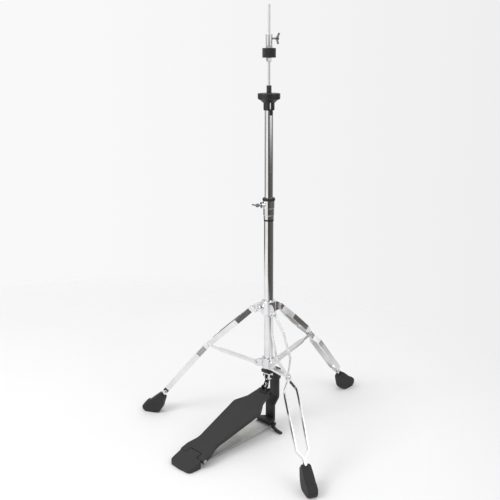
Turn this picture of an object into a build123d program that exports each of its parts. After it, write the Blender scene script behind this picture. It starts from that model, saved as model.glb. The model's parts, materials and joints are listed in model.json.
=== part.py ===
from build123d import *
import os
from math import atan2, cos, degrees, hypot, radians, sin

os.makedirs("parts", exist_ok=True)

# A hi-hat cymbal stand: pedal, frame, double-braced tripod, telescoping tube, pull rod,
# cymbal seat and clutch. Millimetres, +Z up. The origin is where the tube's axis meets the
# floor. The pedal points to -Y and one tripod leg to +Y.

# ---------------------------------------------------------------- driving dimensions
TOTAL_HEIGHT = 1142.0           # top of the pull rod
SEAT_HEIGHT = 926.6             # rim of the lower cymbal's cup
LEG_AZIMUTHS = {"rear": 90.0, "left": 210.0, "right": 330.0}

running_gap = 0.08              # radial, turning or sliding fits
eye_gap = 0.06                  # radial, small pins in their eyes
side_gap = 0.3                  # between parts that swing past each other

# tubes and rod
lower_tube_r, lower_bore_r = 12.7, 11.5
upper_tube_r, upper_bore_r = 11.1, 9.9
lower_tube_z = (171.0, 612.0)
upper_tube_z = (520.0, 905.0)
rod_r = 3.0
lower_rod_r = 3.5
rod_joint_z = (288.0, 312.0)
clevis_pin_z = 152.0

# tripod, in each leg's own (radius, height) plane
leg_pivot = (43.8, 348.9)       # on the upper collar
leg_knee = (178.3, 226.4)       # where the brace meets the leg
leg_toe = (313.0, 62.3)         # where the strips enter the rubber foot
brace_pivot = (36.0, 190.0)     # on the lower collar
strip_thickness, strip_width = 2.5, 15.0
collar_bore_r = lower_tube_r + running_gap
upper_collar_z = (334.6, 375.0)
lower_collar_z = (178.5, 208.0)
leg_rivet_r = 3.0
brace_rivet_r = 2.5

# pedal
hinge_y, hinge_z = -280.0, 19.0
pedal_slope = 18.3              # degrees, at rest
hinge_pin_r = 3.5
board_top = 6.5                 # footboard's upper face above the hinge axis
toe_pin_s, toe_pin_n = 286.5, 14.0

# frame under the tube
spine_width = 31.0
spine_thickness = 7.0


def save(builder, label):
    """Labels a finished piece and writes its STEP file."""
    builder.part.label = label
    export_step(builder.part, f"parts/{label}.step")


# ---------------------------------------------------------------- directions and planes
def radial(azimuth):
    return Vector(cos(radians(azimuth)), sin(radians(azimuth)), 0)


def tangent(azimuth):
    return Vector(-sin(radians(azimuth)), cos(radians(azimuth)), 0)


def at_leg(azimuth, radius, height, across=0.0):
    """A point given by its place in the upright plane through the Z axis at this azimuth."""
    return radial(azimuth) * radius + tangent(azimuth) * across + Vector(0, 0, height)


def upright_plane(azimuth, across=0.0):
    """Plane through the Z axis: local x is the radius and local y the height."""
    return Plane(origin=tangent(azimuth) * across, x_dir=radial(azimuth), z_dir=-tangent(azimuth))


def length_plane(azimuth, start, end):
    """Plane along a member: local x runs from start to end, local y is across it."""
    slope = atan2(end[1] - start[1], end[0] - start[0])
    along = radial(azimuth) * cos(slope) + Vector(0, 0, sin(slope))
    normal = radial(azimuth) * -sin(slope) + Vector(0, 0, cos(slope))
    return Plane(origin=at_leg(azimuth, *start), x_dir=along, z_dir=normal)


def distance(start, end):
    return hypot(end[0] - start[0], end[1] - start[1])


# ---------------------------------------------------------------- shared shapes
def turned(*outline):
    """A solid turned about the Z axis from (radius, height) points."""
    with BuildPart() as piece:
        with BuildSketch(Plane.XZ):
            with BuildLine():
                Polyline(*outline, close=True)
            make_face()
        revolve(axis=Axis.Z)
    return piece


def ring(low, high, outer, inner):
    return turned((inner, low), (outer, low), (outer, high), (inner, high))


def wing_screw(origin, direction, up, shank, hub, wing, lift):
    """A screw with two flat wings.

    shank, hub: (radius, start, end) along the direction. wing: (start, end, half span,
    thickness) of the plate, which lies in the plane of direction and up. lift: how far the
    wing tips reach past the hub.
    """
    along = Vector(*direction).normalized()
    with BuildPart() as screw:
        for radius, low, high in (shank, hub):
            with BuildSketch(Plane(origin=Vector(*origin) + along * low, z_dir=along)) as disc:
                Circle(radius)
            extrude(amount=high - low)
        start, end, half_span, thickness = wing
        face = Plane(origin=origin, x_dir=along, z_dir=along.cross(Vector(*up)))
        with BuildSketch(face) as blade:
            with BuildLine():
                FilletPolyline(
                    (start, -hub[0]), (start + lift, -half_span), (end + lift, -half_span + 2),
                    (end, 0), (end + lift, half_span - 2), (start + lift, half_span),
                    (start, hub[0]), radius=1.5, close=True)
            make_face()
        extrude(amount=thickness / 2, both=True)
    return screw


# ---------------------------------------------------------------- tubes and pull rod
lower_tube = ring(*lower_tube_z, lower_tube_r, lower_bore_r)
save(lower_tube, "lower_tube")

upper_tube = ring(*upper_tube_z, upper_tube_r, upper_bore_r)
save(upper_tube, "upper_tube")

with BuildPart() as pull_rod_upper:
    with BuildSketch(Plane.XY.offset(rod_joint_z[0] + 12)):
        Circle(rod_r)
    extrude(amount=TOTAL_HEIGHT - rod_joint_z[0] - 12)
    chamfer(pull_rod_upper.edges().sort_by(Axis.Z)[-1], 0.8)
save(pull_rod_upper, "pull_rod_upper")

# the lower rod carries the collar that presses the return spring
spring_z = (181.0, 250.0)
lower_rod = turned(
    (0, clevis_pin_z + 7), (lower_rod_r, clevis_pin_z + 7), (lower_rod_r, spring_z[1]),
    (9.0, spring_z[1]), (9.0, spring_z[1] + 3), (lower_rod_r, spring_z[1] + 3),
    (lower_rod_r, rod_joint_z[0] + 12), (0, rod_joint_z[0] + 12))
save(lower_rod, "pull_rod_lower")

with BuildPart() as rod_coupler:
    with BuildSketch(Plane.XY.offset(rod_joint_z[0])):
        RegularPolygon(6.5, 6)
    extrude(amount=rod_joint_z[1] - rod_joint_z[0])
    for height, radius in ((rod_joint_z[0], lower_rod_r), (rod_joint_z[0] + 12, rod_r)):
        with BuildSketch(Plane.XY.offset(height)):
            Circle(radius)
        extrude(amount=12, mode=Mode.SUBTRACT)
save(rod_coupler, "rod_coupler")

spring_coil_r, spring_wire_r, spring_turns = 7.6, 0.9, 8
with BuildPart() as return_spring:
    coil_height = spring_z[1] - spring_z[0] - 2 * spring_wire_r - 1
    with BuildLine():
        coil = Helix(coil_height / spring_turns, coil_height, spring_coil_r,
                     center=(0, 0, spring_z[0] + spring_wire_r + 0.5))
    with BuildSketch(Plane(origin=coil @ 0, z_dir=coil % 0)):
        Circle(spring_wire_r)
    sweep(is_frenet=True)
save(return_spring, "return_spring")

# bush that seats the spring in the foot of the tube and guides the rod
spring_seat = ring(lower_tube_z[0], spring_z[0], lower_bore_r, lower_rod_r + running_gap)
save(spring_seat, "spring_seat_bush")

# ---------------------------------------------------------------- rod clevis and chain
clevis_half = (10.5, 8.0)
clevis_slot = 6.2
with BuildPart() as rod_clevis:
    with BuildSketch(Plane.XY.offset(clevis_pin_z - 7)):
        RectangleRounded(2 * clevis_half[0], 2 * clevis_half[1], 2.5)
    extrude(amount=18)
    fillet(rod_clevis.edges().group_by(Axis.Z)[-1], 1.5)
    with BuildSketch(Plane.XY.offset(clevis_pin_z - 7)):
        Rectangle(2 * clevis_slot, 4 * clevis_half[1])
    extrude(amount=13, mode=Mode.SUBTRACT)
    with BuildSketch(Plane.XY.offset(clevis_pin_z + 7)):
        Circle(lower_rod_r)
    extrude(amount=4, mode=Mode.SUBTRACT)
    with BuildSketch(Plane.YZ.offset(-clevis_half[0])):
        with Locations((0, clevis_pin_z)):
            Circle(2.0)
    extrude(amount=2 * clevis_half[0], mode=Mode.SUBTRACT)
save(rod_clevis, "rod_clevis")

# pin bolt of the clevis, with its nut as a second solid
with BuildPart() as clevis_bolt:
    with BuildSketch(Plane.YZ.offset(-clevis_half[0])):
        with Locations((0, clevis_pin_z)):
            Circle(2.0)
    extrude(amount=2 * clevis_half[0] + 3)
    with BuildSketch(Plane.YZ.offset(-clevis_half[0] - 5.5)):
        with Locations((0, clevis_pin_z)):
            Circle(6.2)
    extrude(amount=5.5)
    fillet(clevis_bolt.faces().sort_by(Axis.X)[0].edges(), 1.5)
    with BuildSketch(Plane.YZ.offset(clevis_half[0])):
        with Locations((0, clevis_pin_z)):
            RegularPolygon(4.5, 6)
    extrude(amount=4)
save(clevis_bolt, "clevis_bolt")

board_plane = Plane(
    origin=(0, hinge_y, hinge_z), x_dir=(1, 0, 0),
    z_dir=(0, -sin(radians(pedal_slope)), cos(radians(pedal_slope))))
toe_pin = board_plane.from_local_coords(Vector(0, toe_pin_s, toe_pin_n))


def on_board(along, above):
    """A point of the pedal's middle plane, as (y, z)."""
    point = board_plane.from_local_coords(Vector(0, along, above))
    return (point.Y, point.Z)


chain_top = Vector(0, 0, clevis_pin_z)
chain_step = (toe_pin - chain_top) / 3
chain_joints = [chain_top + chain_step * k for k in range(4)]
chain_plane = Plane(origin=chain_top, x_dir=chain_step, z_dir=(1, 0, 0))
link_pitch = chain_step.length
link_eye_r = 4.2
chain_pin_r = 1.6


def chain_plate(start, inside, outside, eye_holes):
    """One pair of link plates: start counts pitches down the chain."""
    with BuildPart() as plates:
        for side in (-1, 1):
            with BuildSketch(chain_plane.offset(side * inside)):
                with Locations(((start + 0.5) * link_pitch, 0)):
                    SlotCenterToCenter(link_pitch, 2 * link_eye_r)
                for k, hole in enumerate(eye_holes):
                    with Locations(((start + k) * link_pitch, 0)):
                        Circle(hole, mode=Mode.SUBTRACT)
            extrude(amount=side * (outside - inside))
    return plates.part


with BuildPart() as chain_links:
    add(chain_plate(0, 4.4, 5.6, (2.0 + eye_gap, chain_pin_r)))
    add(chain_plate(1, 3.0, 4.2, (chain_pin_r, chain_pin_r)))
    add(chain_plate(2, 4.4, 5.6, (chain_pin_r, 2.0 + 1.0)))
save(chain_links, "chain_links")

with BuildPart() as chain_pins:
    for k in (1, 2):
        with BuildSketch(chain_plane.offset(-6.0)):
            with Locations((k * link_pitch, 0)):
                Circle(chain_pin_r)
        extrude(amount=12)
        with BuildSketch(chain_plane.offset(-2.9)):
            with Locations((k * link_pitch, 0)):
                Circle(3.4)
        extrude(amount=5.8)
save(chain_pins, "chain_pins")

# ---------------------------------------------------------------- frame
# every screw and bolt of the frame and base in one group: hex screws through the socket's lug
# and into the foot, the cross bolt that holds the outrigger, and two heel screws from below
frame_floor_z = 15.0
bolt_y, bolt_z = -15.3, 21.0
bolt_r = 3.0
bolt_ends = (-26.6, 34.4)       # x of the undersides of its two heads
heel_screw_y = -306.0
heel_screw_x = 15.0
with BuildPart() as base_fasteners:
    for height, front, back in ((143, 24.0, 33.8), (158, 24.0, 33.8), (22.0, 0.0, 11.5)):
        with BuildSketch(Plane.XZ.offset(-back)):
            with Locations((0, height)):
                RegularPolygon(5.0, 6)
        extrude(amount=-3.5)
        with BuildSketch(Plane.XZ.offset(-back)):
            with Locations((0, height)):
                Circle(2.5)
        extrude(amount=back - front)
    with BuildSketch(Plane.YZ.offset(bolt_ends[0])):
        with Locations((bolt_y, bolt_z)):
            Circle(bolt_r)
    extrude(amount=bolt_ends[1] - bolt_ends[0])
    for end in bolt_ends:
        with BuildSketch(Plane.YZ.offset(end)):
            with Locations((bolt_y, bolt_z)):
                Circle(5.8)
        extrude(amount=4.2 if end > 0 else -4.2)
    for x in (-heel_screw_x, heel_screw_x):
        for low, high, radius in ((1.2, 2.5, 3.8), (2.5, 11.5, 2.0)):
            with BuildSketch(Plane.XY.offset(low)):
                with Locations((x, heel_screw_y)):
                    Circle(radius)
            extrude(amount=high - low)
save(base_fasteners, "base_fasteners")

socket_half = 17.0
with BuildPart() as frame_socket:
    with BuildSketch(Plane.XY.offset(165)):
        with Locations((0, 7.4)):
            RectangleRounded(2 * socket_half, 44.8, 6)
    extrude(amount=6)
    with BuildSketch(Plane.XY.offset(171)):
        Circle(16.5)
    extrude(amount=7)
    with BuildSketch(Plane.XY.offset(171)):
        Circle(lower_tube_r)
    extrude(amount=10, mode=Mode.SUBTRACT)
    with BuildSketch(Plane.XY.offset(165)):
        Circle(6.0)
    extrude(amount=8, mode=Mode.SUBTRACT)
    # lug behind the spine
    with BuildSketch(Plane.XZ.offset(-28.8)):
        with Locations((0, 152.5)):
            RectangleRounded(spine_width, 33, 4)
    extrude(amount=-5.0)
    add(base_fasteners.part, mode=Mode.SUBTRACT)
save(frame_socket, "frame_socket")

with BuildPart() as frame_spine:
    with BuildSketch(Plane.YZ):
        with BuildLine():
            FilletPolyline((25.3, 165), (25.3, 83), (8.0, 64), (8.0, 15), radius=9)
        trace(line_width=spine_thickness)
    extrude(amount=spine_width / 2, both=True)
    add(base_fasteners.part, mode=Mode.SUBTRACT)
save(frame_spine, "frame_spine")

foot_front, foot_back = -21.0, 4.5
with BuildPart() as frame_foot:
    with BuildSketch(Plane.XY.offset(frame_floor_z)):
        with BuildLine():
            Polyline((-25, foot_front), (25, foot_front), (25, -8), (13.5, foot_back),
                     (-13.5, foot_back), (-25, -8), close=True)
        make_face()
    extrude(amount=10.5)
    fillet(frame_foot.edges().filter_by(Axis.Z), 2.0)
    chamfer(frame_foot.edges().group_by(Axis.Z)[-1], 1.5)
    add(base_fasteners.part, mode=Mode.SUBTRACT)
save(frame_foot, "frame_foot")

# outrigger: a curved arm from the cross bolt's right end down to the floor
with BuildPart() as outrigger:
    with BuildSketch(Plane.XZ.offset(-bolt_y - 4.0)):
        with BuildLine():
            FilletPolyline((29.5, bolt_z + 5), (30.5, 12), (44, 6), (64, 3.0), radius=7)
        trace(line_width=6)
    extrude(amount=8)
    split(bisect_by=Plane.XY, keep=Keep.TOP)
    add(base_fasteners.part, mode=Mode.SUBTRACT)
save(outrigger, "outrigger")

with BuildPart() as frame_pad:
    with BuildSketch():
        RectangleRounded(28, 22, 3)
    extrude(amount=frame_floor_z - 3)
save(frame_pad, "frame_pad")

# ---------------------------------------------------------------- base plate and heel
plate_half = 27.0
plate_thickness = 3.0
with BuildPart() as base_plate:
    with BuildSketch(Plane.YZ):
        with BuildLine():
            FilletPolyline((8, 13.5), (-30, 13.5), (-250, 4.0), (-320, 4.0), radius=60)
        trace(line_width=plate_thickness)
    extrude(amount=plate_half, both=True)
    fillet(base_plate.edges().filter_by(Axis.Z), 4)
    add(base_fasteners.part, mode=Mode.SUBTRACT)
save(base_plate, "base_plate")

heel_rear, heel_front, tongue_front = -328.0, -290.0, -271.0
tongue_half, heel_half = 21.0, 40.0
heel_top = 24.0
hollow_half = 33.0
hollow_rear = -322.0
with BuildPart() as heel_plate:
    with BuildSketch(Plane.XY.offset(1.0)):
        with BuildLine():
            FilletPolyline(
                (-heel_half, heel_front), (-heel_half + 1, heel_rear), (0, heel_rear - 3),
                (heel_half - 1, heel_rear), (heel_half, heel_front), (tongue_half, heel_front),
                (tongue_half, tongue_front), (-tongue_half, tongue_front),
                (-tongue_half, heel_front), radius=[1, 12, 60, 12, 1, 1, 2, 2, 1], close=True)
        make_face()
    extrude(amount=40)
    # sloping top, from the low rear edge to the tongue between the hinge barrels
    with BuildSketch(Plane.YZ.offset(-60)):
        with BuildLine():
            Polyline((-335, 0), (-335, 7.5), (heel_front, heel_top),
                     (tongue_front - 1, 29.0), (tongue_front + 5, 0), close=True)
        make_face()
    extrude(amount=120, mode=Mode.INTERSECT)
    # hollow underneath, leaving walls and the room for the base plate
    with BuildSketch(Plane.YZ.offset(-hollow_half)):
        with BuildLine():
            Polyline((hollow_rear, 0), (hollow_rear, 6.5), (-293, 18.5), (-293, 0), close=True)
        make_face()
    extrude(amount=2 * hollow_half, mode=Mode.SUBTRACT)
    with BuildSketch(Plane.XY):
        with Locations((0, -290)):
            Rectangle(2 * plate_half + 1, 60)
    extrude(amount=5.5, mode=Mode.SUBTRACT)
    for x in (-heel_screw_x, heel_screw_x):
        with BuildSketch(Plane.XY.offset(5.5)):
            with Locations((x, heel_screw_y)):
                Circle(5)
        extrude(amount=9)
    with BuildSketch(Plane.YZ.offset(-60)):
        with Locations((hinge_y, hinge_z)):
            Circle(hinge_pin_r)
    extrude(amount=120, mode=Mode.SUBTRACT)
    add(base_fasteners.part, mode=Mode.SUBTRACT)
save(heel_plate, "heel_plate")

with BuildPart() as heel_pad:
    with BuildSketch(Plane.XY):
        with Locations((0, -293)):
            RectangleRounded(2 * plate_half - 4, 14, 3)
        with Locations((0, -315)):
            RectangleRounded(2 * plate_half - 4, 7, 2)
    extrude(amount=2.5)
save(heel_pad, "heel_pad")

with BuildPart() as hinge_pin:
    with BuildSketch(Plane.YZ.offset(-45.5)):
        with Locations((hinge_y, hinge_z)):
            Circle(hinge_pin_r)
    extrude(amount=91)
    for side in (-1, 1):
        with BuildSketch(Plane.YZ.offset(side * 44.4)):
            with Locations((hinge_y, hinge_z)):
                Circle(5.2)
        extrude(amount=side * 2.0)
save(hinge_pin, "heel_hinge_pin")

# ---------------------------------------------------------------- footboard
# bolt across the toe, below the chain bracket
toe_bolt_at = board_plane.from_local_coords(Vector(0, 281, -0.4))
with BuildPart() as toe_bolt:
    with BuildSketch(Plane.YZ.offset(-23.5)):
        with Locations((toe_bolt_at.Y, toe_bolt_at.Z)):
            Circle(2.5)
    extrude(amount=47)
    with BuildSketch(Plane.YZ.offset(20.8)):
        with Locations((toe_bolt_at.Y, toe_bolt_at.Z)):
            RegularPolygon(4.8, 6)
    extrude(amount=4.5)
    with BuildSketch(Plane.YZ.offset(-20.8)):
        with Locations((toe_bolt_at.Y, toe_bolt_at.Z)):
            Circle(4.6)
    extrude(amount=-4)
save(toe_bolt, "toe_bolt")

barrel_r = 7.5
barrel_inner, barrel_outer = 23.0, 44.0
board_side = ((18, 293), (29, 240), (51, 207), (33, 52), (44, 20), (44, 0))
board_radii = (6, 30, 14, 40, 12, 1)
board_outline = (
    board_side + ((22.5, 0), (22.5, 13), (-22.5, 13), (-22.5, 0))
    + tuple((-x, y) for x, y in reversed(board_side)))
outline_radii = board_radii + (1, 2, 2, 1) + tuple(reversed(board_radii))
skirt_low = -4.0
with BuildPart() as footboard:
    with BuildSketch(board_plane.offset(skirt_low)):
        with BuildLine():
            FilletPolyline(*board_outline, radius=list(outline_radii), close=True)
        make_face()
    extrude(amount=board_top - skirt_low)
    with BuildSketch(board_plane.offset(skirt_low)):
        with BuildLine():
            FilletPolyline(*board_outline, radius=list(outline_radii), close=True)
        make_face()
        offset(amount=-3.0, kind=Kind.INTERSECTION, mode=Mode.REPLACE)
        with Locations((0, 8)):
            Rectangle(120, 32, mode=Mode.SUBTRACT)
    extrude(amount=6.5, mode=Mode.SUBTRACT)
    # stiffening ribs under the board
    with BuildSketch(board_plane.offset(-1.5)):
        for x in (-14, 0, 14):
            with Locations((x, 150)):
                Rectangle(2.5, 255 if x else 262)
    extrude(amount=5)
    # clear the space under the board around the heel's tongue, then add the hinge barrels
    with BuildSketch(Plane.YZ.offset(-60)):
        with Locations((hinge_y, hinge_z)):
            Circle(barrel_r + 1.5)
    extrude(amount=120, mode=Mode.SUBTRACT)
    for side in (-1, 1):
        with BuildSketch(Plane.YZ.offset(side * barrel_inner)):
            with Locations((hinge_y, hinge_z)):
                Circle(barrel_r)
            with BuildLine():
                Polyline((hinge_y, hinge_z + barrel_r), (hinge_y + 16, hinge_z + 12.2),
                         (hinge_y + 16, hinge_z + 1), (hinge_y, hinge_z - barrel_r), close=True)
            make_face()
        extrude(amount=side * (barrel_outer - barrel_inner))
    with BuildSketch(Plane.YZ.offset(-60)):
        with Locations((hinge_y, hinge_z)):
            Circle(hinge_pin_r + eye_gap)
    extrude(amount=120, mode=Mode.SUBTRACT)
    add(toe_bolt.part, mode=Mode.SUBTRACT)
save(footboard, "footboard")

# bracket on the toe that takes the chain's last eye
cheek_low, cheek_high = 6.5, 9.5
with BuildPart() as toe_clamp:
    with BuildSketch(board_plane.offset(board_top)):
        with Locations((0, 280)):
            RectangleRounded(26, 22, 3)
    extrude(amount=2)
    for side in (-1, 1):
        with BuildSketch(Plane.YZ.offset(side * cheek_low)):
            with BuildLine():
                Polyline(*[on_board(along, above) for along, above in
                           ((274, 7), (291, 7), (291, 14), (286.5, 18.5), (282, 18.5))],
                         close=True)
            make_face()
        extrude(amount=side * (cheek_high - cheek_low))
    with BuildSketch(Plane.YZ.offset(-20)):
        with Locations((toe_pin.Y, toe_pin.Z)):
            Circle(2.0)
    extrude(amount=40, mode=Mode.SUBTRACT)
save(toe_clamp, "toe_clamp")

with BuildPart() as toe_pin_part:
    with BuildSketch(Plane.YZ.offset(-cheek_high)):
        with Locations((toe_pin.Y, toe_pin.Z)):
            Circle(2.0)
    extrude(amount=2 * cheek_high)
    for side in (-1, 1):
        with BuildSketch(Plane.YZ.offset(side * cheek_high)):
            with Locations((toe_pin.Y, toe_pin.Z)):
                Circle(3.4)
        extrude(amount=side * 1.8)
save(toe_pin_part, "toe_pin")

# ---------------------------------------------------------------- height clamp
clamp_wing_azimuth = 248.0
clamp_wing_z = 640.0
with BuildPart() as height_clamp:
    with BuildSketch(Plane.XZ):
        with BuildLine():
            Polyline((lower_tube_r, 600.8), (13.6, 600.8), (13.8, 611.0), (14.6, 612.5),
                     (14.6, 630.0), (15.4, 631.0), (15.4, 650.6), (13.6, 650.6),
                     (13.6, 612.0), (lower_tube_r, 612.0), close=True)
        make_face()
    revolve(axis=Axis.Z)
    boss_plane = Plane(origin=at_leg(clamp_wing_azimuth, 13.7, clamp_wing_z),
                       z_dir=radial(clamp_wing_azimuth))
    with BuildSketch(boss_plane):
        Circle(8.0)
    extrude(amount=8.5)
    with BuildSketch(Plane.XY.offset(clamp_wing_z - 20)):
        Circle(13.6)
    extrude(amount=40, mode=Mode.SUBTRACT)
    with BuildSketch(boss_plane.offset(-3)):
        Circle(3.0 + eye_gap)
    extrude(amount=20, mode=Mode.SUBTRACT)
save(height_clamp, "height_clamp")

clamp_bush = turned(
    (upper_tube_r + running_gap, 613.0), (13.6, 613.0), (13.6, 650.6), (16.3, 650.6),
    (16.9, 653.0), (16.3, 657.5), (14.0, 658.6), (upper_tube_r + running_gap, 658.6))
save(clamp_bush, "clamp_bush")

clamp_ring = ring(596.0, 600.8, 13.3, lower_tube_r)
save(clamp_ring, "clamp_ring")

clamp_wing = wing_screw(
    at_leg(clamp_wing_azimuth, 0, clamp_wing_z), radial(clamp_wing_azimuth),
    tangent(clamp_wing_azimuth), (3.0, 13.9, 31), (5.2, 29.5, 36.5), (32, 39, 15, 3.0), 4)
save(clamp_wing, "clamp_wing_screw")

# ---------------------------------------------------------------- cymbal seat
screw_azimuth = -27.0
screw_z = 878.0
tilt_center_z = 893.0
dome_r = 19.25
neck_r = 14.2
neck_bottom = 884.0
neck_rod_bore = 5.5
dome_top = tilt_center_z + (dome_r ** 2 - neck_rod_bore ** 2) ** 0.5
lug_width, lug_face_r = 7.8, 16.0

# the nylon neck slips over the top of the tube, and its domed end carries the cup
with BuildPart() as seat_neck:
    with BuildSketch(Plane.XZ):
        with BuildLine():
            Polyline((neck_rod_bore, upper_tube_z[1]), (upper_tube_r, upper_tube_z[1]),
                     (upper_tube_r, neck_bottom), (12.4, neck_bottom))
            ThreePointArc((12.4, neck_bottom), (13.7, neck_bottom + 0.9), (neck_r, neck_bottom + 3))
            Line((neck_r, neck_bottom + 3), (neck_r, 906.0))
            mid_r = 10.5
            ThreePointArc((neck_r, 906.0), (mid_r, tilt_center_z + (dome_r**2 - mid_r**2)**0.5),
                          (neck_rod_bore, dome_top))
            Line((neck_rod_bore, dome_top), (neck_rod_bore, upper_tube_z[1]))
        make_face()
    revolve(axis=Axis.Z)
    # lug below the neck for the lock screw, shaped to the tube
    with BuildSketch(Plane(origin=at_leg(screw_azimuth, 9, 879.5), x_dir=tangent(screw_azimuth),
                           z_dir=radial(screw_azimuth))):
        RectangleRounded(lug_width, 15, 3.0)
    extrude(amount=lug_face_r - 9)
    with BuildSketch(Plane.XY.offset(860)):
        Circle(upper_tube_r)
    extrude(amount=upper_tube_z[1] - 860, mode=Mode.SUBTRACT)
    # window on the steel tube
    with BuildSketch(Plane(origin=at_leg(screw_azimuth, 9, 895.5),
                           x_dir=tangent(screw_azimuth), z_dir=radial(screw_azimuth))):
        SlotOverall(17, 5.2, rotation=90)
    extrude(amount=12, mode=Mode.SUBTRACT)
    with BuildSketch(Plane(origin=at_leg(screw_azimuth, 9, screw_z), z_dir=radial(screw_azimuth))):
        Circle(2.0 + eye_gap)
    extrude(amount=12, mode=Mode.SUBTRACT)
save(seat_neck, "seat_neck")

# guide in the mouth of the upper tube
rod_guide = ring(upper_tube_z[1] - 16, upper_tube_z[1], upper_bore_r, 4.6)
save(rod_guide, "rod_guide_bush")

with BuildPart() as seat_screw:
    for radius, low, high in ((2.0, upper_tube_r + 0.2, 17.0), (3.7, lug_face_r + 0.2, 19.6)):
        with BuildSketch(Plane(origin=at_leg(screw_azimuth, low, screw_z),
                               z_dir=radial(screw_azimuth))) as disc:
            Circle(radius)
        extrude(amount=high - low)
    # driver slot
    with BuildSketch(Plane(origin=at_leg(screw_azimuth, 18.6, screw_z),
                           z_dir=radial(screw_azimuth))):
        Rectangle(9, 1.2, rotation=25)
    extrude(amount=2, mode=Mode.SUBTRACT)
save(seat_screw, "seat_lock_screw")

cup_gap = 0.4
cup_r = 28.8
sleeve_r, sleeve_bore = 6.4, 5.6
cup_floor = 919.0
washer_top = 926.0
cup_dome = dome_r + cup_gap
skirt_r = 14.9                  # inside of the cup's skirt, clear of the neck when tilted


def cup_dome_z(radius):
    return tilt_center_z + (cup_dome ** 2 - radius ** 2) ** 0.5


with BuildPart() as seat_cup:
    with BuildSketch(Plane.XZ):
        with BuildLine():
            Line((sleeve_r, cup_floor), (sleeve_r, cup_dome_z(sleeve_r)))
            ThreePointArc((sleeve_r, cup_dome_z(sleeve_r)), (11, cup_dome_z(11)),
                          (skirt_r, cup_dome_z(skirt_r)))
            Polyline((skirt_r, cup_dome_z(skirt_r)), (skirt_r, 903.6), (16.2, 903.6))
            ThreePointArc((16.2, 903.6), (20.4, 908.0), (26.8, 911.4))
            Polyline((26.8, 911.4), (cup_r - 0.4, 913.2), (cup_r, 914.2), (cup_r, SEAT_HEIGHT - 0.8),
                     (cup_r - 0.8, SEAT_HEIGHT), (26.0, SEAT_HEIGHT), (25.2, SEAT_HEIGHT - 1.0),
                     (25.0, cup_floor), (sleeve_r, cup_floor))
        make_face()
    revolve(axis=Axis.Z)
save(seat_cup, "seat_cup")

seat_sleeve = turned(
    (sleeve_bore, 912.5), (sleeve_r, 912.5), (sleeve_r, 945.2), (sleeve_r - 0.5, 946.0),
    (sleeve_bore, 946.0))
save(seat_sleeve, "seat_sleeve")

washer_bore = sleeve_r + 0.2
seat_washer = turned(
    (washer_bore, cup_floor), (24.8, cup_floor), (24.8, washer_top - 0.8),
    (24.0, washer_top), (washer_bore, washer_top))
save(seat_washer, "seat_washer")

# ---------------------------------------------------------------- clutch
clutch_bore = rod_r + eye_gap
wing_azimuth = 35.0
clutch_wing_z = 1060.0
stem_r = 5.0
with BuildPart() as clutch_body:
    with BuildSketch(Plane.XZ):
        with BuildLine():
            Polyline((clutch_bore, 1002.8), (stem_r - 0.6, 1002.8), (stem_r, 1003.6),
                     (stem_r, 1043.6), (8.6, 1043.6), (8.6, 1069.6), (7.6, 1070.9),
                     (clutch_bore, 1070.9), close=True)
        make_face()
    revolve(axis=Axis.Z)
    with BuildSketch(Plane(origin=at_leg(wing_azimuth, 0, clutch_wing_z),
                           z_dir=radial(wing_azimuth))):
        Circle(2.5 + eye_gap)
    extrude(amount=12, mode=Mode.SUBTRACT)
save(clutch_body, "clutch_body")

clutch_wing = wing_screw(
    at_leg(wing_azimuth, 0, clutch_wing_z), radial(wing_azimuth),
    Vector(0, 0, 1) + tangent(wing_azimuth) * 0.35, (2.5, 3.3, 20), (4.0, 16.5, 25.5),
    (17.5, 22, 14, 3.0), 2.5)
save(clutch_wing, "clutch_wing_screw")

with BuildPart() as clutch_top_nuts:
    for low, high, radius in ((1037.6, 1040.6, 9.4), (1040.8, 1043.4, 8.8)):
        with BuildSketch(Plane.XY.offset(low)):
            RegularPolygon(radius, 8)
            Circle(stem_r, mode=Mode.SUBTRACT)
        extrude(amount=high - low)
save(clutch_top_nuts, "clutch_top_nuts")

# two felts, with a small gap between them for the upper cymbal
felt_r, felt_bore = 17.3, stem_r + 0.2
with BuildPart() as clutch_felts:
    for low, high in ((1013.8, 1025.55), (1025.65, 1037.4)):
        with BuildSketch(Plane.XZ):
            with BuildLine():
                Polyline((felt_bore, low), (felt_r - 0.6, low), (felt_r, low + 0.6),
                         (felt_r, high - 0.6), (felt_r - 0.6, high), (felt_bore, high), close=True)
            make_face()
        revolve(axis=Axis.Z)
save(clutch_felts, "clutch_felts")

with BuildPart() as clutch_nut:
    with BuildSketch(Plane.XY.offset(1005.8)):
        RegularPolygon(8.0, 6)
        Circle(stem_r + eye_gap, mode=Mode.SUBTRACT)
    extrude(amount=7.6)
save(clutch_nut, "clutch_bottom_nut")

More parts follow.
